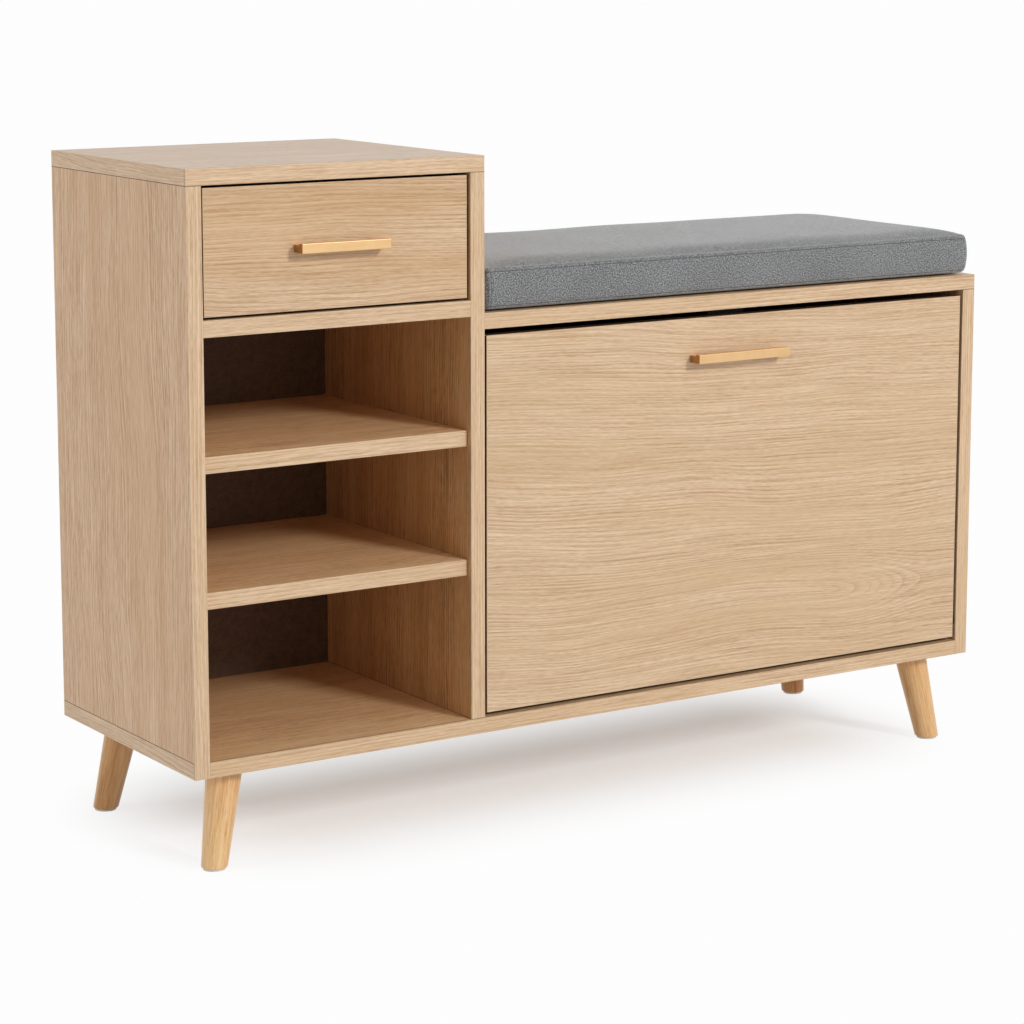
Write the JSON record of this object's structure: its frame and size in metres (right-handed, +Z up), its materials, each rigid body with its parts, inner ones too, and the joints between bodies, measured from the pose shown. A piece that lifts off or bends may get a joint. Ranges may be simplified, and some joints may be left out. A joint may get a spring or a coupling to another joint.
{
  "type": "entryway bench",
  "caption": "Oak entryway bench with splayed legs: a tower with drawer and open shoe shelves beside a cushioned seat over a tilting shoe flap.",
  "frame": {"origin": "on the floor, at the middle of the bench's width and of its depth with the handles", "axes": "+X to the right for someone who faces the bench, +Y towards the wall behind it, +Z up"},
  "size_m": [0.96, 0.31, 0.677],
  "materials": {
    "oak_board": "oak veneer on board, matt lacquer",
    "oak_front": "oak veneer with level grain, matt lacquer",
    "oak_edging": "oak strips, matt lacquer",
    "oak_inner": "plain board, matt",
    "hardboard": "thin board with a brown printed face",
    "beech_leg": "turned beech, satin lacquer",
    "satin_brass": "pale satin",
    "slide_steel": "bright zinc plated",
    "zinc_fastener": "zinc plated",
    "nylon": "smooth",
    "black_plastic": "fine texture",
    "cushion_cloth": "grey flecked woven cloth over foam"
  },
  "bodies": {
    "bench": {"tower_top": "oak_board", "left_side": "oak_board", "right_side": "oak_board", "divider": "oak_board", "bottom_board": "oak_board", "seat_board": "oak_board", "fixed_shelf": "oak_board", "lower_shelf": "oak_board", "upper_shelf": "oak_board", "tower_back": "hardboard", "bench_back": "hardboard", "upright_edging": "oak_edging", "level_edging": "oak_edging", "shelf_edging": "oak_edging", "shelf_pins": "slide_steel", "cam_locks": "zinc_fastener", "cam_bolts": "zinc_fastener", "dowels": "beech_leg", "back_screws": "zinc_fastener", "front_left_leg": "beech_leg", "front_right_leg": "beech_leg", "rear_left_leg": "beech_leg", "rear_right_leg": "beech_leg", "leg_bolts": "zinc_fastener", "leg_inserts": "zinc_fastener", "foot_glides": "nylon", "left_cabinet_slide": "slide_steel", "right_cabinet_slide": "slide_steel", "cabinet_slide_screws": "zinc_fastener", "pivot_bushes": "nylon", "stop_studs": "slide_steel", "magnetic_catch": "black_plastic", "catch_screws": "zinc_fastener", "seat_cushion": "cushion_cloth", "cushion_pads": "cushion_cloth"},
    "ball_cages": {"ball_cages": "slide_steel", "slide_balls": "slide_steel"},
    "drawer": {"drawer_front": "oak_front", "drawer_inner_front": "oak_inner", "drawer_left_side": "oak_inner", "drawer_right_side": "oak_inner", "drawer_rear": "oak_inner", "drawer_bottom": "hardboard", "left_drawer_slide": "slide_steel", "right_drawer_slide": "slide_steel", "drawer_slide_screws": "zinc_fastener", "drawer_box_screws": "zinc_fastener", "drawer_front_screws": "zinc_fastener", "drawer_handle": "satin_brass", "drawer_handle_screws": "zinc_fastener"},
    "flap": {"flap_panel": "oak_front", "flap_handle": "satin_brass", "flap_handle_screws": "zinc_fastener", "pivot_pins": "slide_steel", "left_rack_plate": "black_plastic", "right_rack_plate": "black_plastic", "rack_shelves": "black_plastic", "rack_rails": "slide_steel", "strike_plate": "slide_steel", "flap_screws": "zinc_fastener"}
  },
  "joints": [
    {"name": "drawer_slide", "type": "slide", "parent": "bench", "child": "drawer", "axis": [0, -1, 0], "range_m": [0, 0.18]},
    {"name": "cage_slide", "type": "slide", "parent": "bench", "child": "ball_cages", "axis": [0, -1, 0], "range_m": [0, 0.09]},
    {"name": "flap_tilt", "type": "hinge", "parent": "bench", "child": "flap", "pos_m": [0.1545, -0.13, 0.136], "axis": [1, 0, 0], "range_deg": [0, 45]}
  ],
  "couplings": [
    {"joint": "cage_slide", "follows": "drawer_slide", "ratio": 0.5}
  ]
}
